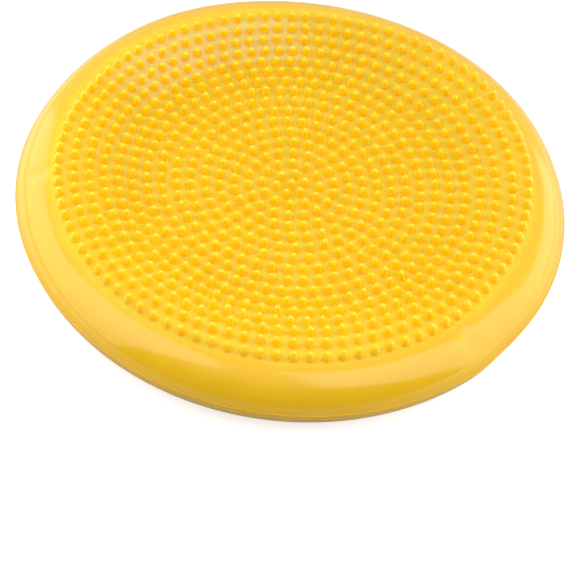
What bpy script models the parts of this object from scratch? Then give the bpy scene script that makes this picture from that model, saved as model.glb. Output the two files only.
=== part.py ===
"""Wobble cushion: an air-filled balance disc of soft PVC with a dished face and a needle valve underneath.

Metres, +Z up. The origin is on the floor, under the middle of the disc, and the disc's axis is +Z.
The bladder's two mouldings are cut into zones where the soft wall bends, so that the face can tilt.
"""

from math import asin, cos, pi, radians, sin

import bmesh
import bpy
from mathutils import Matrix, Vector

# Driving dimensions of the bladder.
OUTER_R = 0.165
RIM_RADIUS = 0.0205  # of the rim's round section
WALL = 0.003
FACE_CENTRE_Z = 0.028
BOWL_RISE = 0.006  # from the middle of the face to the rim's crest, as a wide bowl; the lip rises the rest
BOWL_POWER = 1.4
LIP_START_R = 0.090  # where the face's steeper edge starts to rise
ZONE_ANGLE = radians(35)  # of the rim's section, from its crest or its lowest point, that doesn't bend
GAP = 0.0003  # between neighbouring pieces
ZONE_GAP = 0.0010  # between zones of the bladder, measured on the outside: it narrows through the wall

# The massage nubs: one in the middle, and 6, 12, 18 and so on in the rings round it.
NUB_RINGS = 16
NUB_PITCH = 0.00868  # from ring to ring
NUBS_IN_FIRST_RING = 6
# How far each ring is turned from +X, as a share of the step between its nubs.
RING_TURNS = (0.3, 0.1, 0.6, 0.2, 0.0, 0.8, 0.3, 0.5, 0.1, 0.3, 0.2, 0.2, 0.6, 0.4, 0.9, 0.5)
NUB_HEIGHT = 0.006
NUB_BASE_R = 0.0031  # at the face's surface
NUB_ROOT = 0.001  # how far a nub reaches into the wall
NUB_SIDES = 4

# The weld bead round the equator.
BEAD_HEIGHT = 0.0024
BEAD_PROUD = 0.0008

# The underside: a flat ring that the disc rests on, grip ribs, and the cup round the valve.
REST_INNER_R = 0.137
FLOOR_RISE = 0.0012  # of the skin between the ribs
RIB_RADII = (0.111, 0.080, 0.049)
RIB_WIDTH = 0.006
RIB_SLOPE = 0.0012
CUP_R = 0.017
CUP_SLOPE = 0.003
CUP_ROOF_Z = 0.007
VALVE_HOLE_R = 0.0066

# The valve.
BOOT_R = 0.0063
BOOT_BORE_R = 0.0038
BOOT_FLANGE_R = 0.0115
BOOT_FLANGE_HEIGHT = 0.0014
BOOT_BOTTOM_Z = CUP_ROOF_Z - 0.0006
BOOT_TOP_Z = 0.0205
CORE_R = BOOT_BORE_R - GAP
CORE_FLANGE_R = 0.0054
CORE_FLANGE_HEIGHT = 0.0010
CORE_TOP_Z = 0.0190
NEEDLE_CHANNEL_R = 0.0014
NEEDLE_CHANNEL_TOP_Z = 0.0170
PIN_R = NEEDLE_CHANNEL_R - GAP
PIN_TOP_Z = 0.0150
PLUG_HEAD_R = 0.0075
PLUG_HEAD_HEIGHT = 0.0020
PLUG_HEAD_DOME = 0.0008

# How finely the turned shapes are stepped round the disc's axis.
SKIN_STEPS = 48
VALVE_STEPS = 20

RIM_CIRCLE_R = OUTER_R - RIM_RADIUS  # from the disc's axis to the middle of the rim's section
EQUATOR_Z = RIM_RADIUS
CREST_Z = 2 * RIM_RADIUS
LIP_RISE = CREST_Z - FACE_CENTRE_Z - BOWL_RISE


def clear_scene():
    for thing in list(bpy.data.objects):
        bpy.data.objects.remove(thing)


def plastic(name, colour, roughness):
    """A soft plastic: a Principled material with no metal in it."""
    material = bpy.data.materials.new(name)
    material.use_nodes = True
    shader = material.node_tree.nodes["Principled BSDF"]
    shader.inputs["Base Color"].default_value = (*colour, 1)
    shader.inputs["Roughness"].default_value = roughness
    shader.inputs["Metallic"].default_value = 0
    return material


def turned(name, profile, steps, closed, material, collection):
    """The profile, points (r, z) down its outer side, turned round the disc's axis."""
    cage = bmesh.new()
    corners = [cage.verts.new((r, 0, z)) for r, z in profile]
    for first, second in zip(corners, corners[1:]):
        cage.edges.new((first, second))
    if closed:
        cage.edges.new((corners[-1], corners[0]))
    mesh = bpy.data.meshes.new(name)
    cage.to_mesh(mesh)
    cage.free()
    mesh.materials.append(material)
    piece = bpy.data.objects.new(name, mesh)
    collection.objects.link(piece)
    screw = piece.modifiers.new("Turn", "SCREW")
    screw.axis = "Z"
    screw.angle = 2 * pi
    screw.steps = steps
    screw.render_steps = steps
    screw.use_merge_vertices = True
    screw.merge_threshold = 0.0001
    return piece


def skin(name, profile, material, collection):
    """A zone of the bladder: the outer surface, with the wall on its inner side."""
    piece = turned(name, profile, SKIN_STEPS, False, material, collection)
    shell = piece.modifiers.new("Wall", "SOLIDIFY")
    shell.thickness = WALL
    shell.offset = -1
    shell.use_even_offset = True
    return piece


def smooth_step(start, end, value):
    share = min(max((value - start) / (end - start), 0), 1)
    return share * share * (3 - 2 * share)


def face_z(r):
    """Height of the massage face's outer surface, from its middle to the rim's crest."""
    bowl = BOWL_RISE * (r / RIM_CIRCLE_R) ** BOWL_POWER
    return FACE_CENTRE_Z + bowl + LIP_RISE * smooth_step(LIP_START_R, RIM_CIRCLE_R, r)


def rim_arc(start, end, count):
    """Points of the rim's section from one angle to another, counted from its crest, outwards and down."""
    angles = [start + (end - start) * i / count for i in range(count + 1)]
    return [(RIM_CIRCLE_R + RIM_RADIUS * sin(a), EQUATOR_Z + RIM_RADIUS * cos(a)) for a in angles]


def face_profile():
    """From the middle of the face, up its dish and over the crest to where the wall starts to bend."""
    radii = [RIM_CIRCLE_R * i / 8 for i in range(8)]
    return [(r, face_z(r)) for r in radii] + rim_arc(0, ZONE_ANGLE, 3)


def nub_places():
    """(radius, angle) of each nub of the face."""
    places = [(0, 0)]
    for ring in range(1, NUB_RINGS + 1):
        count = NUBS_IN_FIRST_RING * ring
        turn = RING_TURNS[ring - 1]
        places += [(ring * NUB_PITCH, 2 * pi * (i + turn) / count) for i in range(count)]
    return places


def nub_field(collection):
    """The coarse nubs, one cone for each, that are joined to the face."""
    depth = NUB_HEIGHT + NUB_ROOT
    root_r = NUB_BASE_R * depth / NUB_HEIGHT
    field = bmesh.new()
    for radius, angle in nub_places():
        middle_z = face_z(radius) - NUB_ROOT + depth / 2
        place = Matrix.Rotation(angle, 4, "Z") @ Matrix.Translation((radius, 0, middle_z))
        bmesh.ops.create_cone(
            field,
            cap_ends=True,
            segments=NUB_SIDES,
            radius1=root_r,
            radius2=0,
            depth=depth,
            matrix=place,
        )
    mesh = bpy.data.meshes.new("nub_field")
    field.to_mesh(mesh)
    field.free()
    helper = bpy.data.objects.new("nub_field", mesh)
    helper.hide_render = True
    helper.display_type = "WIRE"
    collection.objects.link(helper)
    return helper


def upper_wall_profile():
    bead_edge = pi / 2 - asin((BEAD_HEIGHT / 2 + ZONE_GAP) / RIM_RADIUS)
    return rim_arc(ZONE_ANGLE + ZONE_GAP / RIM_RADIUS, bead_edge, 4)


def lower_wall_profile():
    bead_edge = pi / 2 + asin((BEAD_HEIGHT / 2 + ZONE_GAP) / RIM_RADIUS)
    return rim_arc(bead_edge, pi - ZONE_ANGLE - ZONE_GAP / RIM_RADIUS, 4)


def rib_profile(radius):
    """One grip rib of the underside, from its outer foot to its inner foot."""
    half = RIB_WIDTH / 2
    return [
        (radius + half + RIB_SLOPE, FLOOR_RISE),
        (radius + half, 0),
        (radius - half, 0),
        (radius - half - RIB_SLOPE, FLOOR_RISE),
    ]


def underside_profile():
    """From the rim's lower shoulder, under the disc, over the ribs and up into the cup's roof."""
    profile = rim_arc(pi - ZONE_ANGLE, pi, 3)
    profile += [(REST_INNER_R, 0), (REST_INNER_R - RIB_SLOPE, FLOOR_RISE)]
    for radius in RIB_RADII:
        profile += rib_profile(radius)
    profile += [(CUP_R + CUP_SLOPE, FLOOR_RISE), (CUP_R, CUP_ROOF_Z), (VALVE_HOLE_R, CUP_ROOF_Z)]
    return profile


def bead_profile():
    """The weld bead's section: as deep as the wall, and a little proud of the rim."""
    outer = OUTER_R + BEAD_PROUD
    inner = OUTER_R - WALL
    half = BEAD_HEIGHT / 2
    return [
        (inner, EQUATOR_Z + half),
        (outer - BEAD_PROUD, EQUATOR_Z + half),
        (outer, EQUATOR_Z + half / 3),
        (outer, EQUATOR_Z - half / 3),
        (outer - BEAD_PROUD, EQUATOR_Z - half),
        (inner, EQUATOR_Z - half),
    ]


def boot_profile():
    """A sleeve with a flange that is bonded to the underside's inner surface."""
    flange_z = CUP_ROOF_Z + WALL + GAP
    return [
        (BOOT_BORE_R, BOOT_TOP_Z),
        (BOOT_R, BOOT_TOP_Z),
        (BOOT_R, flange_z + BOOT_FLANGE_HEIGHT),
        (BOOT_FLANGE_R, flange_z + BOOT_FLANGE_HEIGHT),
        (BOOT_FLANGE_R, flange_z),
        (BOOT_R, flange_z),
        (BOOT_R, BOOT_BOTTOM_Z),
        (BOOT_BORE_R, BOOT_BOTTOM_Z),
    ]


def core_profile():
    """A rubber insert with a blind needle channel, held by a flange under the boot."""
    flange_top = BOOT_BOTTOM_Z - GAP
    flange_bottom = flange_top - CORE_FLANGE_HEIGHT
    return [
        (0, CORE_TOP_Z),
        (CORE_R, CORE_TOP_Z),
        (CORE_R, flange_top),
        (CORE_FLANGE_R, flange_top),
        (CORE_FLANGE_R, flange_bottom),
        (NEEDLE_CHANNEL_R, flange_bottom),
        (NEEDLE_CHANNEL_R, NEEDLE_CHANNEL_TOP_Z),
        (0, NEEDLE_CHANNEL_TOP_Z),
    ]


def plug_profile():
    """A stopper: a pin with a tapered tip on a low domed head."""
    head_top = BOOT_BOTTOM_Z - GAP - CORE_FLANGE_HEIGHT - GAP
    head_bottom = head_top - PLUG_HEAD_HEIGHT
    return [
        (0, PIN_TOP_Z),
        (PIN_R / 2, PIN_TOP_Z),
        (PIN_R, PIN_TOP_Z - 2 * PIN_R),
        (PIN_R, head_top),
        (PLUG_HEAD_R, head_top),
        (PLUG_HEAD_R, head_bottom + PLUG_HEAD_DOME),
        (PLUG_HEAD_R - PLUG_HEAD_DOME, head_bottom),
        (0, head_bottom),
    ]


def pivot(name, height, collection):
    """An empty on the disc's axis that carries what turns about it."""
    empty = bpy.data.objects.new(name, None)
    empty.location = Vector((0, 0, height))
    empty.empty_display_size = RIM_RADIUS
    collection.objects.link(empty)
    return empty


def carry(pieces, parent):
    """The pieces keep their places and move with the parent."""
    for piece in pieces:
        piece.parent = parent
        piece.location = -parent.matrix_world.translation


def main():
    clear_scene()
    cushion = bpy.data.collections.new("wobble_cushion")
    helpers = bpy.data.collections.new("helpers")
    bpy.context.scene.collection.children.link(cushion)
    bpy.context.scene.collection.children.link(helpers)

    face_pvc = plastic("face_pvc", (0.95, 0.56, 0.02), 0.38)
    rim_pvc = plastic("rim_pvc", (0.93, 0.58, 0.04), 0.28)
    bead_pvc = plastic("bead_pvc", (0.90, 0.52, 0.05), 0.35)
    boot_pvc = plastic("boot_pvc", (0.85, 0.47, 0.03), 0.45)
    core_rubber = plastic("core_rubber", (0.05, 0.05, 0.055), 0.6)
    plug_plastic = plastic("plug_plastic", (0.93, 0.58, 0.04), 0.35)

    massage_face = skin("massage_face", face_profile(), face_pvc, cushion)
    join = massage_face.modifiers.new("Nubs", "BOOLEAN")
    join.operation = "UNION"
    join.object = nub_field(helpers)
    upper_wall = skin("upper_wall", upper_wall_profile(), rim_pvc, cushion)
    weld_bead = turned("weld_bead", bead_profile(), SKIN_STEPS, True, bead_pvc, cushion)
    skin("lower_wall", lower_wall_profile(), rim_pvc, cushion)
    skin("underside", underside_profile(), rim_pvc, cushion)
    turned("valve_boot", boot_profile(), VALVE_STEPS, True, boot_pvc, cushion)
    turned("valve_core", core_profile(), VALVE_STEPS, False, core_rubber, cushion)
    turned("valve_plug", plug_profile(), VALVE_STEPS, False, plug_plastic, cushion)

    tilt_pivot = pivot("tilt_pivot", EQUATOR_Z, cushion)
    bpy.context.view_layer.update()
    carry([massage_face, upper_wall, weld_bead], tilt_pivot)


main()
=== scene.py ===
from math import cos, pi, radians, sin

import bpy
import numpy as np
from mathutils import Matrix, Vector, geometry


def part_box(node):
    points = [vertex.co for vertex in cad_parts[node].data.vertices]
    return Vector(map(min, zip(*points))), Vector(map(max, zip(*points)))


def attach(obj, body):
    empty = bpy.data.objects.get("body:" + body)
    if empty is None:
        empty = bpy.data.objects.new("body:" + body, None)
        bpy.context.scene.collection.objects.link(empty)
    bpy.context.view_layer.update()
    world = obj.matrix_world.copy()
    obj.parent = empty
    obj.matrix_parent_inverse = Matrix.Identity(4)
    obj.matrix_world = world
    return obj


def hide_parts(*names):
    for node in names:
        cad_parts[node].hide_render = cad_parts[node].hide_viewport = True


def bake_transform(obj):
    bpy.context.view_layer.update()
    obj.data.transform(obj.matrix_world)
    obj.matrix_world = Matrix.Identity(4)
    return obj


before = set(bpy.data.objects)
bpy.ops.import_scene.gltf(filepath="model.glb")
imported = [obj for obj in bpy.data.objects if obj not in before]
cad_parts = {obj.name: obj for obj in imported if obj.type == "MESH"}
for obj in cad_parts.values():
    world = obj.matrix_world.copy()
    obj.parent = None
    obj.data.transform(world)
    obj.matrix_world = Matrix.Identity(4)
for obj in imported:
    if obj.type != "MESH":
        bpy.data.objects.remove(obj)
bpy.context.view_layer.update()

# Looks of the wobble cushion: a yellow PVC bladder with a nubbed, dished face, a buckled round rim, a weld
# round its equator, grip ribs under it and a needle valve in the middle of its underside.
# Metres, +Z up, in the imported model's frame: the disc's axis is +Z and the floor is at z = 0.
# A place on the upper skin is (along, angle): the length along the skin's section from the rim's crest,
# negative towards the disc's axis and positive down the outside, and the angle round the disc from +X.
# A bearing is such an angle in degrees, from -180 to 180: 0 is the disc's right, 90 its back, -90 its front.

# The bladder's section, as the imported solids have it.
BEAD_LOW, BEAD_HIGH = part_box("weld_bead")
EQUATOR_Z = (BEAD_LOW.z + BEAD_HIGH.z) / 2
BEAD_PROUD = 0.0008
OUTER_R = BEAD_HIGH.x - BEAD_PROUD
CREST_Z = 2 * EQUATOR_Z
WALL = 0.003
FACE_CENTRE_Z = 0.028
BOWL_RISE = 0.006
BOWL_POWER = 1.4
LIP_START_R = 0.090
LIP_RISE = CREST_Z - FACE_CENTRE_Z - BOWL_RISE

# The soft rim lies a little flatter than the solids: an arc down its outside, which meets the weld at an
# angle, and the lower moulding's arc from there down to the floor. A turn is an angle along such an arc:
# from the crest down on the upper one, and from the floor up on the lower one.
CREST_R = 0.1415
WELD_TURN = radians(78)
FLANK_RADIUS = (OUTER_R - CREST_R) / sin(WELD_TURN)
WELD_Z = CREST_Z - FLANK_RADIUS * (1 - cos(WELD_TURN))
WELD_ALONG = FLANK_RADIUS * WELD_TURN
LOWER_TURN = radians(85)
LOWER_RADIUS = WELD_Z / (1 - cos(LOWER_TURN))
LOWER_GAP_TURN = 0.02  # radians of the lower arc left out at its top, under the weld's ridge

# The ridge of the weld: half its height, and how far it stands out.
WELD_HALF = 0.0009
WELD_PROUD = 0.0004

# Small buckles in the rim: bearing, place along the section, depth, half length round, half length along.
BUCKLES = (
    (-171, 0.010, 0.0013, 0.0050, 0.008),
    (-45, 0.011, 0.0012, 0.0055, 0.010),
)

# The crest stands this much prouder at one bearing, and as much lower opposite it.
CREST_LEAN = 0.0018
CREST_LEAN_BEARING = 45
CREST_LEAN_START, CREST_LEAN_FULL = -0.020, 0.012  # places along the section

# The disc's outline isn't quite round. It stands out a little everywhere, more in two swells (bearing, half
# width in degrees, height), and more again along the front, where it rises and sinks between these bearings.
BULGE_EVERYWHERE = 0.0005
BULGE_SWELLS = (
    (42, 28, 0.0018),
    (124, 18, 0.0015),
)
FRONT_BULGE = 0.0021
FRONT_BULGE_RISE = (-150, -70)
FRONT_BULGE_SINK = (-47, -35)
BULGE_START, BULGE_FULL = -0.020, 0.002  # places along the section

# The upper skin is two meshes: the face, which keeps its shape, and the rim.
SEAM_TURN = radians(20)
SEAM_ALONG = FLANK_RADIUS * SEAM_TURN
ROUND_STEPS = 384
RIM_ROWS = 34
LOWER_ROWS = 30
WELD_ROWS = 12
SHOULDER_ROWS = 8
INNER_FACE_ROWS = 10
# The wall's inner side has only every third row of the rim's, and every fourth of the shoulder's.
INNER_RIM_STEP = 3
INNER_SHOULDER_STEP = 4
INNER_FACE_R = 0.012  # of the last row under the face, round a point on the axis

# The underside: the ring that the disc rests on, grip ribs, and a cup round the valve, as in the solids.
REST_INNER_R = 0.137
FLOOR_RISE = 0.0012
RIB_RADII = (0.111, 0.080, 0.049)
RIB_HALF = 0.003
CUP_R = 0.017
CUP_SLOPE = 0.003
CUP_ROOF_Z = 0.007
VALVE_HOLE_R = 0.0066
UNDERSIDE_SOFTNESS = 0.0005
CORNER_STEPS = 4
# The rows of points on the lower moulding's inner side, over the cup and over the floor round it.
INNER_CUP_RADII = (0.012, 0.018)
INNER_FLOOR_RADII = (0.023, 0.080, 0.136)

# The valve: what its pieces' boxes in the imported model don't give. The ROW values place the first and last
# rows of points: inside the ends of the boot's bore, and on flat ends that one face closes.
BOOT_R = 0.0063
BOOT_BORE_R = 0.0038
BOOT_FLANGE = 0.0014
BORE_ROW_DEPTH = 0.001
CORE_TOP_ROW_R = 0.0010
CORE_FLANGE = 0.001
CHANNEL_R = 0.0014
CHANNEL_ROOF = 0.002
CHANNEL_END_ROW_R = 0.0004
PLUG_GAP = 0.0001
PIN_R = CHANNEL_R * 0.93
PIN_TAPER = 0.0026
PIN_END_R = CHANNEL_R / 2
PIN_END_ROW_R = 0.0004
HEAD_CHAMFER_UP, HEAD_CHAMFER_IN = 0.0008, 0.0012
HEAD_DIMPLE_R, HEAD_DIMPLE_DEPTH = 0.0020, 0.0002
VALVE_SOFTNESS = 0.0002
VALVE_STEPS = 72

# The massage nubs: one in the middle, and 6, 12, 18 and so on in the rings round it.
NUB_RINGS = 16
NUB_PITCH = 0.00868
NUBS_IN_FIRST_RING = 6
MIDDLE_NUB_R = 0.0003  # just off the axis, where the section still has a direction
# How far each ring is turned, as a share of the step between two of its nubs.
RING_TURNS = (0.3, 0.1, 0.6, 0.2, 0.0, 0.8, 0.3, 0.5, 0.1, 0.3, 0.2, 0.2, 0.6, 0.4, 0.9, 0.5)
NUB_SIDES = 14
# Half a nub's section, (distance from its axis, height), from its foot on the skin to its tip.
NUB_SECTION = (
    (0.00310, 0.0000),
    (0.00282, 0.0003),
    (0.00272, 0.0011),
    (0.00254, 0.0023),
    (0.00222, 0.0036),
    (0.00170, 0.0049),
    (0.00096, 0.0059),
)
NUB_TOP = 0.0063
NUB_BANDS = len(NUB_SECTION) - 1
KNOB_POINTS = NUB_BANDS * NUB_SIDES + 1  # a nub's points above its foot
NUB_LEAN_SPREAD = 0.02
NUB_SIZE_SPREAD = 0.015
NUB_SEED = 11
FIELD_MARGIN = 0.0042  # from the middles of the outermost nubs to the edge of the nubbed field
FIELD_EDGE_R = NUB_RINGS * NUB_PITCH + FIELD_MARGIN

# The outer rings of nubs are stretched at the back right and drawn in at the back: (bearing, distance).
DRIFTS = (
    (34, 0.0040),
    (114, -0.0038),
)
DRIFT_START_R, DRIFT_FULL_R = 0.070, 0.139

# The skin's colours and gloss: satin and cloudy inside the crest, clear and glossy outside it.
RIM_COLOUR = (0.82, 0.475, 0.007, 1)
# Painted light: the face's yellow is a lighter copy of the rim's, which offsets the shade among the nubs.
FACE_COLOUR_WITH_PAINTED_LIGHT = (1.0, 0.605, 0.005, 1)
# Painted glow: the nubs' yellow, mixed in up their height and a hair paler than the face's, stands in for
# light through them.
NUB_PAINTED_GLOW_COLOUR = (1.0, 0.605, 0.008, 1)
# Painted reflection: the pale yellow of a crescent among the outer nubs at the back left.
PAINTED_REFLECTION_COLOUR = (1.0, 0.66, 0.20, 1)
FACE_ROUGHNESS = 0.32
NUB_ROUGHNESS = 0.18
RIM_ROUGHNESS = 0.14
RIM_LOOK_START_R, RIM_LOOK_FULL_R = 0.1425, 0.1485
NUB_LOOK_SHARE = 0.25  # of a nub's height, over which it takes on its colour of painted glow and its own gloss
MOTTLE_SCALE = 40
MOTTLE_SHADES = (0.97, 1.0)
MOTTLE_NOISE = (0.35, 0.65)  # the noise's own range between those shades
PEEL_SCALE = 900
PEEL_DEPTH = 0.0002

# The painted reflection, a pale crescent on the skin among the outer nubs: its middle, its strength there,
# where its two ends fade (as the cosine of the angle from its middle) and where its inner and outer edges
# do.
PAINTED_REFLECTION_BEARING = 122
PAINTED_REFLECTION_STRENGTH = 0.75
PAINTED_REFLECTION_END_COSINES = (0.80, 0.95)
PAINTED_REFLECTION_INNER_EDGE = (0.100, 0.110)
PAINTED_REFLECTION_OUTER_EDGE = (0.1385, 0.1345)

# The grain of small moulded pieces: its darkest and lightest shade, and how far it changes their roughness.
GRAIN_SHADES = (0.85, 1.1)
GRAIN_ROUGHNESS = 0.08
GRAIN_DEPTH = 0.0001

PANEL_RADIANCE = 1.7
CARD_RADIANCE = 0.6
FLOOR_SIZE = 12
FLOOR_GAP = 0.0001  # keeps the floor just clear of the resting ring
FLOOR_GLOW = 0.7

# The photograph's view, its angles in degrees.
LENS_MM = 115.1
SENSOR_MM = 36
EYE = (0.0065, -0.7796, 0.8511)
EYE_PITCH = 49.8
EYE_ROLL = 7.21


def smooth_step(start, end, value):
    share = np.clip((value - start) / (end - start), 0, 1)
    return share * share * (3 - 2 * share)


def face_z(r):
    bowl = BOWL_RISE * (r / CREST_R) ** BOWL_POWER
    return FACE_CENTRE_Z + bowl + LIP_RISE * smooth_step(LIP_START_R, CREST_R, r)


def plain_section(along):
    """(radius, height) of the undented skin."""
    turn = np.maximum(along, 0) / FLANK_RADIUS
    r = np.maximum(CREST_R + np.minimum(along, 0), 0)
    radius = np.where(along < 0, r, CREST_R + FLANK_RADIUS * np.sin(turn))
    height = np.where(along < 0, face_z(r), CREST_Z - FLANK_RADIUS * (1 - np.cos(turn)))
    return radius, height


def dent(along, angle):
    """How far the skin stands out from its plain shape, square to it."""
    lean = CREST_LEAN * np.cos(angle - radians(CREST_LEAN_BEARING))
    stand = lean * smooth_step(CREST_LEAN_START, CREST_LEAN_FULL, along)
    for bearing, place, depth, wide, high in BUCKLES:
        apart = np.sin((angle - radians(bearing)) / 2) * 2 * OUTER_R
        stand = stand - depth * np.exp(-((apart / wide) ** 2) - ((along - place) / high) ** 2)
    return stand


def bulge(along, angle):
    """How far the rim as a whole is pressed outwards, away from the disc's axis."""
    bearing = np.degrees(np.arctan2(np.sin(angle), np.cos(angle)))
    reach = BULGE_EVERYWHERE
    for middle, half_width, height in BULGE_SWELLS:
        reach = reach + height * np.exp(-(((bearing - middle) / half_width) ** 2))
    rise = smooth_step(*FRONT_BULGE_RISE, bearing)
    sink = smooth_step(*FRONT_BULGE_SINK, bearing)
    reach = reach + FRONT_BULGE * rise * (1 - sink)
    return reach * smooth_step(BULGE_START, BULGE_FULL, along)


def drift(radius, angle):
    """How far the nubs at this radius lie further out than their even ring."""
    reach = 0
    for bearing, distance in DRIFTS:
        reach = reach + distance * np.maximum(np.cos(angle - radians(bearing)), 0) ** 3
    return reach * smooth_step(DRIFT_START_R, DRIFT_FULL_R, radius)


def skin_points(along, angle):
    """Points of the upper skin at these places, as an array whose last axis is (x, y, z)."""
    step = 1e-5
    radius, height = plain_section(along)
    ahead_r, ahead_z = plain_section(along + step)
    behind_r, behind_z = plain_section(along - step)
    slope_r = ahead_r - behind_r
    slope_z = ahead_z - behind_z
    length = np.hypot(slope_r, slope_z)
    out = dent(along, angle)
    radius = radius - out * slope_z / length + bulge(along, angle)
    height = height + out * slope_r / length
    return np.stack([radius * np.cos(angle), radius * np.sin(angle), height], axis=-1)


def unit(vectors):
    return vectors / np.linalg.norm(vectors, axis=-1, keepdims=True)


def skin_frames(along, angle):
    """Points of the upper skin, and unit vectors there: down the section, round the disc and outwards."""
    step = 1e-4
    turn = step / np.maximum(CREST_R + along, step)
    down = unit(skin_points(along + step, angle) - skin_points(along - step, angle))
    around = unit(skin_points(along, angle + turn) - skin_points(along, angle - turn))
    outward = unit(np.cross(down, around))
    return skin_points(along, angle), down, around, outward


def round_angles(steps=ROUND_STEPS):
    return np.arange(steps) * 2 * pi / steps


def skin_row(along, depth=0.0):
    """A row of points on the skin or this deep under it, and their normals, which then face inwards."""
    place, _, _, outward = skin_frames(np.full(ROUND_STEPS, along), round_angles())
    return place - depth * outward, outward if depth == 0 else -outward


def level_row(r, z, steps=ROUND_STEPS):
    """A level row of points round the disc, at this radius or at this one for each angle."""
    angle = round_angles(steps)
    r = np.broadcast_to(r, angle.shape)
    return np.stack([r * np.cos(angle), r * np.sin(angle), np.full_like(angle, z)], axis=-1)


def loop_links(first, steps):
    """Pairs of neighbours in a closed row of points that starts at index first."""
    return [(first + i, first + (i + 1) % steps) for i in range(steps)]


def strip_faces(here, there, steps):
    """Quads between two closed rows of points that start at these indices."""
    across = zip(loop_links(here, steps), loop_links(there, steps))
    return [(near, far, far_next, near_next) for (near, near_next), (far, far_next) in across]


def ring_faces(rows, steps, first=0, closed=False):
    """Quads between rows of points round the disc, each row steps long and starting at index first."""
    faces = []
    for row in range(rows if closed else rows - 1):
        faces += strip_faces(first + row * steps, first + (row + 1) % rows * steps, steps)
    return faces


def new_piece(name, points, faces, material):
    """A smooth-shaded mesh object."""
    mesh = bpy.data.meshes.new(name)
    mesh.from_pydata([tuple(p) for p in points], [], faces)
    mesh.materials.append(material)
    mesh.shade_smooth()
    piece = bpy.data.objects.new(name, mesh)
    bpy.context.scene.collection.objects.link(piece)
    return piece


def set_normals(piece, normals):
    """Gives the piece its own normals, so that skins which meet look like one."""
    piece.data.normals_split_custom_set_from_vertices([tuple(n) for n in normals])


def upper_rim(material):
    """The rim's upper half, from the seam with the face down to the weld, with the wall's inner side."""
    outer = np.linspace(SEAM_ALONG, WELD_ALONG, RIM_ROWS)
    rows = [skin_row(along) for along in outer]
    rows += [skin_row(along, WALL) for along in outer[::-INNER_RIM_STEP]]
    points = np.concatenate([row for row, _ in rows])
    faces = ring_faces(len(rows), ROUND_STEPS, closed=True)
    piece = new_piece("upper_rim_skin", points, faces, material)
    set_normals(piece, np.concatenate([normals for _, normals in rows]))
    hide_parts("upper_wall")
    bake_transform(piece)


def nub_places():
    """(radius, angle) of each nub."""
    places = [(MIDDLE_NUB_R, 0.0)]
    for ring in range(1, NUB_RINGS + 1):
        count = NUBS_IN_FIRST_RING * ring
        for i in range(count):
            angle = 2 * pi * (i + RING_TURNS[ring - 1]) / count
            radius = ring * NUB_PITCH
            places.append((radius + drift(radius, angle), angle))
    return places


def nub_points(radius, angle, random):
    """One nub's rings of points and its tip: a round knob that stands square to the skin."""
    place, down, around, outward = skin_frames(np.array(radius - CREST_R), np.array(angle))
    lean = random.normal(0, NUB_LEAN_SPREAD, 2)
    size = random.normal(1, NUB_SIZE_SPREAD)
    turns = round_angles(NUB_SIDES)
    spokes = np.outer(np.cos(turns), down) + np.outer(np.sin(turns), around)
    axis = outward + down * lean[0] + around * lean[1]
    rings = [place + axis * height * size + spokes * reach * size for reach, height in NUB_SECTION]
    return rings, place + axis * NUB_TOP * size


def field_faces(field, nubs):
    """Triangles over the face, between the feet of the nubs, which come first in field, and its edge."""
    links = []
    for nub in range(nubs):
        links += loop_links(nub * NUB_SIDES, NUB_SIDES)
    links += loop_links(nubs * NUB_SIDES, ROUND_STEPS)
    flat = [Vector(point[:2]) for point in field]
    tolerance = 1e-7
    _, _, triangles, sources, _, _ = geometry.delaunay_2d_cdt(flat, links, [], 0, tolerance)
    owner = np.append(np.repeat(np.arange(nubs), NUB_SIDES), np.full(ROUND_STEPS, -1))
    faces = []
    for triangle in triangles:
        corners = tuple(sources[corner][0] for corner in triangle)
        if len({int(owner[corner]) for corner in corners}) > 1:
            faces.append(corners)
    return faces


def knob_faces(nub, field_points):
    """Quads up the side of one nub, whose foot is in the field, and triangles round its tip."""
    below = nub * NUB_SIDES
    above = field_points + nub * KNOB_POINTS
    faces = []
    for _ in range(NUB_BANDS):
        across = zip(loop_links(below, NUB_SIDES), loop_links(above, NUB_SIDES))
        faces += [(low, low_next, high_next, high) for (low, low_next), (high, high_next) in across]
        below = above
        above = below + NUB_SIDES
    return faces + [(*link, above) for link in loop_links(below, NUB_SIDES)]


def shoulder_rows(edge_along):
    """Rows from the field's edge over the crest to the seam, and those of the wall's inner side."""
    shoulder = np.linspace(edge_along, np.full(ROUND_STEPS, SEAM_ALONG), SHOULDER_ROWS + 1)[1:]
    under_face = np.linspace(0, INNER_FACE_R - CREST_R, INNER_FACE_ROWS)
    outer = [skin_row(along) for along in shoulder]
    inner = [skin_row(along, WALL) for along in shoulder[::-INNER_SHOULDER_STEP]]
    inner += [skin_row(along, WALL) for along in under_face]
    return outer, inner


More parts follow.
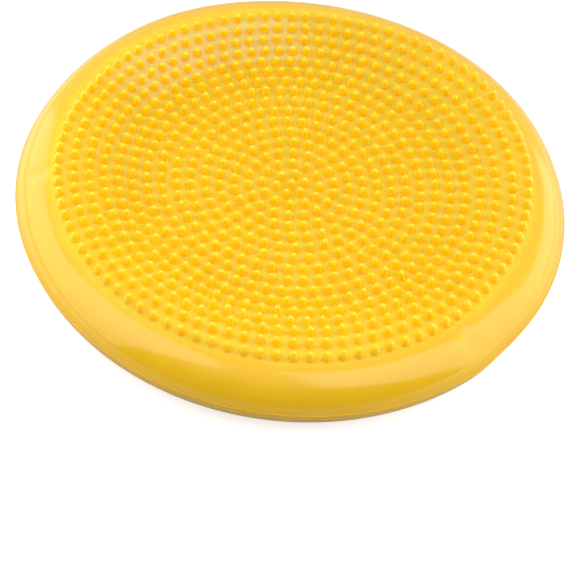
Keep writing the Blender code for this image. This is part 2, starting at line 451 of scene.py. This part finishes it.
def massage_face(material):
    """The dished face and its nubs in one mesh, over the crest to the seam, with the wall's inner side."""
    random = np.random.default_rng(NUB_SEED)
    nubs = [nub_points(radius, angle, random) for radius, angle in nub_places()]
    edge_along = FIELD_EDGE_R - CREST_R + drift(FIELD_EDGE_R, round_angles())
    edge, _ = skin_row(edge_along)
    field = np.concatenate([rings[0] for rings, _ in nubs] + [edge])
    outer, inner = shoulder_rows(edge_along)
    middle = skin_points(np.array([-CREST_R]), np.array([0.0])) - (0, 0, WALL)
    points = [field]
    for rings, tip in nubs:
        points += [*rings[1:], [tip]]
    points += [row for row, _ in outer + inner] + [middle]

    rows = len(outer) + len(inner)
    first_row = len(field) + len(nubs) * KNOB_POINTS
    last_row = first_row + (rows - 1) * ROUND_STEPS
    middle_index = last_row + ROUND_STEPS
    faces = field_faces(field, len(nubs))
    for nub in range(len(nubs)):
        faces += knob_faces(nub, len(field))
    faces += strip_faces(len(nubs) * NUB_SIDES, first_row, ROUND_STEPS)
    faces += ring_faces(rows, ROUND_STEPS, first=first_row)
    faces += [(middle_index, after, before) for before, after in loop_links(last_row, ROUND_STEPS)]

    piece = new_piece("massage_face_skin", np.concatenate(points), faces, material)
    heights = [height / NUB_TOP for _, height in NUB_SECTION[1:] for _ in range(NUB_SIDES)] + [1]
    share = np.zeros(middle_index + 1)
    share[len(field) : first_row] = np.tile(heights, len(nubs))
    piece.data.attributes.new("nub_height", "FLOAT", "POINT").data.foreach_set("value", share)
    normals = np.array([vertex.normal for vertex in piece.data.vertices])
    outer_end = first_row + len(outer) * ROUND_STEPS
    normals[first_row:outer_end] = np.concatenate([row_normals for _, row_normals in outer])
    set_normals(piece, normals)
    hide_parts("massage_face")
    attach(piece, "face")


def weld(material):
    """A low rounded ridge where the two mouldings are welded, over the edges of both skins."""
    place, _, _, outward = skin_frames(np.full(ROUND_STEPS, WELD_ALONG), round_angles())
    rows = []
    for turn in round_angles(WELD_ROWS):
        out = cos(turn) * (WELD_PROUD if cos(turn) > 0 else 2 * WELD_PROUD)
        rows.append(place + outward * out + np.array((0, 0, -WELD_HALF * sin(turn))))
    faces = ring_faces(len(rows), ROUND_STEPS, closed=True)
    piece = new_piece("weld_ridge", np.concatenate(rows), faces, material)
    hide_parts("weld_bead")
    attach(piece, "rim")


def lower_rows():
    """Outer section of the lower moulding, from the weld down to the ring that the disc rests on."""
    along = np.full(ROUND_STEPS, WELD_ALONG)
    shift = dent(along, round_angles()) + bulge(along, round_angles())
    rows = []
    for i in range(LOWER_ROWS):
        turn = (LOWER_TURN - LOWER_GAP_TURN) * (1 - i / (LOWER_ROWS - 1))
        share = sin(turn) / sin(LOWER_TURN)
        r = OUTER_R - LOWER_RADIUS * sin(LOWER_TURN) * (1 - share) + shift * share
        rows.append(level_row(r, LOWER_RADIUS * (1 - cos(turn))))
    return rows


def softened(profile, reach):
    """An open profile with its corners rounded off, each cut back this far."""
    points = [Vector(profile[0])]
    for before, corner, after in zip(profile, profile[1:], profile[2:]):
        corner = Vector(corner)
        start = corner + (Vector(before) - corner).normalized() * reach
        end = corner + (Vector(after) - corner).normalized() * reach
        for step in range(CORNER_STEPS + 1):
            share = step / CORNER_STEPS
            points.append(start.lerp(corner, share).lerp(corner.lerp(end, share), share))
    return points + [Vector(profile[-1])]


def underside_profile():
    """From the resting ring inwards: the grip ribs, the cup round the valve and the valve hole's edge."""
    profile = [(REST_INNER_R, 0), (REST_INNER_R - FLOOR_RISE, FLOOR_RISE)]
    for radius in RIB_RADII:
        profile += [(radius + RIB_HALF + FLOOR_RISE, FLOOR_RISE), (radius + RIB_HALF, 0)]
        profile += [(radius - RIB_HALF, 0), (radius - RIB_HALF - FLOOR_RISE, FLOOR_RISE)]
    profile += [(CUP_R + CUP_SLOPE, FLOOR_RISE), (CUP_R, CUP_ROOF_Z)]
    return profile + [(VALVE_HOLE_R, CUP_ROOF_Z), (VALVE_HOLE_R, CUP_ROOF_Z + WALL)]


def lower_skin(material):
    """The whole lower moulding: its outside, its ribbed underside and, round the valve, its inner side."""
    rows = lower_rows()
    rows += [level_row(r, z) for r, z in softened(underside_profile(), UNDERSIDE_SOFTNESS)]
    rows += [level_row(r, CUP_ROOF_Z + WALL) for r in INNER_CUP_RADII]
    rows += [level_row(r, FLOOR_RISE + WALL) for r in INNER_FLOOR_RADII]
    faces = ring_faces(len(rows), ROUND_STEPS)
    piece = new_piece("lower_skin", np.concatenate(rows), faces, material)
    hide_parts("underside", "lower_wall")
    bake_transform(piece)


def turned(name, profile, closed, material, body):
    """A small piece turned round the disc's axis, in place of the CAD node that its name starts with."""
    rows = [level_row(r, z, VALVE_STEPS) for r, z in softened(profile, VALVE_SOFTNESS)]
    faces = ring_faces(len(rows), VALVE_STEPS, closed=closed)
    if not closed:
        last = (len(rows) - 1) * VALVE_STEPS
        faces += [tuple(range(VALVE_STEPS)), tuple(last + i for i in reversed(range(VALVE_STEPS)))]
    piece = new_piece(name, np.concatenate(rows), faces, material)
    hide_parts(name.removesuffix("_shape"))
    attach(piece, body)


def valve_boot():
    """The sleeve bonded into the underside, with its flange inside the bladder."""
    low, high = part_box("valve_boot")
    flange_z = CUP_ROOF_Z + WALL
    flange_top = flange_z + BOOT_FLANGE
    profile = [(BOOT_BORE_R, high.z - BORE_ROW_DEPTH), (BOOT_BORE_R, high.z), (BOOT_R, high.z)]
    profile += [(BOOT_R, flange_top), (high.x, flange_top), (high.x, flange_z), (BOOT_R, flange_z)]
    profile += [(BOOT_R, low.z), (BOOT_BORE_R, low.z), (BOOT_BORE_R, low.z + BORE_ROW_DEPTH)]
    look = moulded("boot_pvc_look", (0.80, 0.45, 0.02), 0.5, 900)
    turned("valve_boot_shape", profile, True, look, "base")


def valve_core():
    """The rubber insert in the sleeve, with its needle channel."""
    low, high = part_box("valve_core")
    flange_top = low.z + CORE_FLANGE
    channel_end = high.z - CHANNEL_ROOF
    profile = [(CORE_TOP_ROW_R, high.z), (BOOT_BORE_R, high.z), (BOOT_BORE_R, flange_top)]
    profile += [(high.x, flange_top), (high.x, low.z), (CHANNEL_R, low.z)]
    profile += [(CHANNEL_R, channel_end), (CHANNEL_END_ROW_R, channel_end)]
    look = moulded("core_rubber_look", (0.035, 0.035, 0.038), 0.6, 1400)
    turned("valve_core_shape", profile, False, look, "base")


def valve_plug():
    """The stopper, whose pin closes the needle channel."""
    low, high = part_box("valve_plug")
    core_low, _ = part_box("valve_core")
    head_top = core_low.z - PLUG_GAP
    profile = [(PIN_END_ROW_R, high.z), (PIN_END_R, high.z), (PIN_R, high.z - PIN_TAPER)]
    profile += [(PIN_R, head_top), (high.x, head_top), (high.x, low.z + HEAD_CHAMFER_UP)]
    profile += [(high.x - HEAD_CHAMFER_IN, low.z), (HEAD_DIMPLE_R, low.z + HEAD_DIMPLE_DEPTH)]
    look = moulded("plug_plastic_look", (0.86, 0.50, 0.02), 0.32, 700)
    turned("valve_plug_shape", profile, False, look, "plug")


def new_material(name):
    """A material, its node tree and its shader."""
    material = bpy.data.materials.new(name)
    material.use_nodes = True
    return material, material.node_tree, material.node_tree.nodes["Principled BSDF"]


def add_node(tree, kind, inputs, **settings):
    """A new shader node with these settings, and these values or links on its inputs."""
    node = tree.nodes.new("ShaderNode" + kind)
    for setting, value in settings.items():
        setattr(node, setting, value)
    for socket, value in inputs.items():
        if isinstance(value, bpy.types.NodeSocket):
            tree.links.new(value, node.inputs[socket])
        else:
            node.inputs[socket].default_value = value
    return node


def ramp(tree, value, start, end, low=0.0, high=1.0, curve="SMOOTHSTEP"):
    """Goes from low to high while the value goes from start to end."""
    inputs = {"Value": value, "From Min": start, "From Max": end, "To Min": low, "To Max": high}
    return add_node(tree, "MapRange", inputs, interpolation_type=curve).outputs["Result"]


def noise(tree, place, scale, detail):
    inputs = {"Vector": place, "Scale": scale, "Detail": detail}
    return add_node(tree, "TexNoise", inputs).outputs["Fac"]


def mix(tree, factor, first, second, kind):
    inputs = {"Factor": factor, "A": first, "B": second}
    return add_node(tree, "Mix", inputs, data_type=kind).outputs["Result"]


def shaded(tree, colour, strength):
    inputs = {0: colour, "Scale": strength}
    return add_node(tree, "VectorMath", inputs, operation="SCALE").outputs["Vector"]


def bumps(tree, height, strength, distance):
    inputs = {"Height": height, "Strength": strength, "Distance": distance}
    return add_node(tree, "Bump", inputs).outputs["Normal"]


def painted_reflection_share(tree, place, radius):
    """How strongly the painted reflection shows: a pale crescent between the outer nubs at the back left."""
    bearing = radians(PAINTED_REFLECTION_BEARING)
    middle = (cos(bearing), sin(bearing), 0)
    reach = add_node(tree, "VectorMath", {0: place, 1: middle}, operation="DOT_PRODUCT")
    facing = add_node(tree, "Math", {0: reach.outputs["Value"], 1: radius}, operation="DIVIDE")
    share = ramp(tree, facing.outputs["Value"], *PAINTED_REFLECTION_END_COSINES, high=PAINTED_REFLECTION_STRENGTH)
    for edge in (PAINTED_REFLECTION_INNER_EDGE, PAINTED_REFLECTION_OUTER_EDGE):
        fade = ramp(tree, radius, *edge)
        share = add_node(tree, "Math", {0: share, 1: fade}, operation="MULTIPLY").outputs["Value"]
    return share


def pvc(name):
    """Soft yellow PVC, glossy on the rim, satin and cloudy among the nubs, faintly mottled and pitted, with
    painted light: a face lighter than the rim, a painted glow up the nubs and a painted reflection at the
    back left.
    """
    material, tree, shader = new_material(name)
    place = add_node(tree, "TexCoord", {}).outputs["Object"]
    flat = add_node(tree, "VectorMath", {0: place, 1: (1, 1, 0)}, operation="MULTIPLY").outputs["Vector"]
    radius = add_node(tree, "VectorMath", {0: flat}, operation="LENGTH").outputs["Value"]
    rim = ramp(tree, radius, RIM_LOOK_START_R, RIM_LOOK_FULL_R)
    height = add_node(tree, "Attribute", {}, attribute_name="nub_height").outputs["Fac"]
    knob = ramp(tree, height, 0, NUB_LOOK_SHARE)

    # The face is a lighter copy of the rim's yellow: painted light that offsets the shade among the nubs.
    colour = mix(tree, rim, FACE_COLOUR_WITH_PAINTED_LIGHT, RIM_COLOUR, "RGBA")
    # A painted reflection: a pale crescent among the outer nubs at the back left.
    colour = mix(tree, painted_reflection_share(tree, place, radius), colour, PAINTED_REFLECTION_COLOUR, "RGBA")
    # Up the nubs, a painted glow: a yellow a hair paler than the face's.
    colour = mix(tree, knob, colour, NUB_PAINTED_GLOW_COLOUR, "RGBA")
    mottle = ramp(tree, noise(tree, place, MOTTLE_SCALE, 3), *MOTTLE_NOISE, *MOTTLE_SHADES, "LINEAR")
    rough = ramp(tree, rim, 0, 1, FACE_ROUGHNESS, RIM_ROUGHNESS, "LINEAR")
    rough = mix(tree, knob, rough, NUB_ROUGHNESS, "FLOAT")
    cloudy = ramp(tree, rim, 0, 1, 1, 0, "LINEAR")
    peel = bumps(tree, noise(tree, place, PEEL_SCALE, 2), 0.05, PEEL_DEPTH)

    tree.links.new(shaded(tree, colour, mottle), shader.inputs["Base Color"])
    tree.links.new(rough, shader.inputs["Roughness"])
    tree.links.new(cloudy, shader.inputs["Subsurface Weight"])
    tree.links.new(peel, shader.inputs["Normal"])
    shader.inputs["IOR"].default_value = 1.53
    shader.inputs["Subsurface Radius"].default_value = (1.0, 0.55, 0.08)
    shader.inputs["Subsurface Scale"].default_value = 0.0060
    return material


def moulded(name, colour, roughness, grain):
    """A small moulded piece's surface: a fine grain in its height, its gloss and its colour."""
    material, tree, shader = new_material(name)
    place = add_node(tree, "TexCoord", {}).outputs["Object"]
    speckle = noise(tree, place, grain, 3)
    shade = ramp(tree, speckle, 0, 1, *GRAIN_SHADES, "LINEAR")
    rough = ramp(tree, speckle, 0, 1, roughness - GRAIN_ROUGHNESS, roughness + GRAIN_ROUGHNESS, "LINEAR")
    tree.links.new(shaded(tree, colour, shade), shader.inputs["Base Color"])
    tree.links.new(rough, shader.inputs["Roughness"])
    tree.links.new(bumps(tree, speckle, 0.2, GRAIN_DEPTH), shader.inputs["Normal"])
    return material


def panel(name, hinge, length, depth, slope, turn, radiance):
    """A flat lit panel that the camera doesn't see, hinged on an edge whose middle is given.

    At slope 0 it reaches outwards from the disc and lights downwards, at 90 degrees it hangs down and lights
    the disc from the side, and near 180 it reaches back inwards and lights upwards.
    """
    light = bpy.data.lights.new(name, "AREA")
    light.shape = "RECTANGLE"
    light.size = length
    light.size_y = depth
    light.energy = radiance * pi * length * depth
    lamp = bpy.data.objects.new(name, light)
    side = 1 if hinge[0] > 0 else -1
    lamp.matrix_world = (
        Matrix.Translation(hinge)
        @ Matrix.Rotation(radians(turn), 4, "Z")
        @ Matrix.Rotation(radians(side * slope), 4, "Y")
        @ Matrix.Translation((side * length / 2, 0, 0))
    )
    lamp.visible_camera = False
    bpy.context.scene.collection.objects.link(lamp)


def lights():
    """On each side of the disc: a high canopy, a lower panel behind it, and a card close to the floor."""
    panel("left_canopy", (-0.225, -0.17, 1.2), 1.18, 0.42, 79, 0, PANEL_RADIANCE)
    panel("right_canopy", (0.15, -0.44, 1.2), 1.54, 0.82, 49.5, 20, PANEL_RADIANCE)
    panel("left_low_panel", (-0.39, 0.22, 0.35), 0.31, 0.36, 79, 0, PANEL_RADIANCE)
    panel("right_low_panel", (0.58, 0.44, 0.38), 0.46, 0.54, 49.5, 20, PANEL_RADIANCE)
    panel("left_card", (-0.41, 0.05, 0.026), 0.21, 0.60, 174, 0, CARD_RADIANCE)
    panel("right_card", (0.40, 0.02, 0.020), 0.17, 0.62, 175, 0, CARD_RADIANCE)


def studio():
    """The room's own light: brighter overhead and behind the disc than low down in front of it."""
    world = bpy.data.worlds.new("studio")
    world.use_nodes = True
    tree = world.node_tree
    place = add_node(tree, "TexCoord", {}).outputs["Generated"]
    lean = add_node(tree, "VectorMath", {0: place, 1: (0, 0.6, 0.8)}, operation="DOT_PRODUCT")
    strength = ramp(tree, lean.outputs["Value"], -0.1, 0.8, 0.17, 0.86)
    background = tree.nodes["Background"]
    background.inputs["Color"].default_value = (1, 1, 1, 1)
    tree.links.new(strength, background.inputs["Strength"])
    bpy.context.scene.world = world


def floor():
    """A floor that the camera sees as white, though it lights the disc no more than a pale grey one."""
    bpy.ops.mesh.primitive_plane_add(size=FLOOR_SIZE)
    ground = bpy.context.object
    ground.name = "floor"
    ground.location.z = -FLOOR_GAP
    material, tree, shader = new_material("floor_white")
    seen = add_node(tree, "LightPath", {}).outputs["Is Camera Ray"]
    glow = add_node(tree, "Math", {0: seen, 1: FLOOR_GLOW}, operation="MULTIPLY")
    tree.links.new(glow.outputs["Value"], shader.inputs["Emission Strength"])
    shader.inputs["Emission Color"].default_value = (1, 1, 1, 1)
    shader.inputs["Base Color"].default_value = (0.62, 0.62, 0.62, 1)
    shader.inputs["Roughness"].default_value = 0.9
    shader.inputs["Specular IOR Level"].default_value = 0.1
    ground.data.materials.append(material)


def camera():
    """The view from the front and above, turned a little clockwise."""
    lens = bpy.data.cameras.new("view")
    lens.lens = LENS_MM
    lens.sensor_width = SENSOR_MM
    eye = bpy.data.objects.new("view", lens)
    tilt = Matrix.Rotation(radians(90 - EYE_PITCH), 4, "X")
    roll = Matrix.Rotation(radians(EYE_ROLL), 4, "Z")
    eye.matrix_world = Matrix.Translation(EYE) @ tilt @ roll
    bpy.context.scene.collection.objects.link(eye)
    bpy.context.scene.camera = eye


def main():
    yellow_pvc = pvc("yellow_pvc_look")
    massage_face(yellow_pvc)
    upper_rim(yellow_pvc)
    lower_skin(yellow_pvc)
    weld(yellow_pvc)
    valve_boot()
    valve_core()
    valve_plug()
    floor()
    lights()
    studio()
    camera()
    bpy.context.scene.view_settings.view_transform = "Standard"


main()
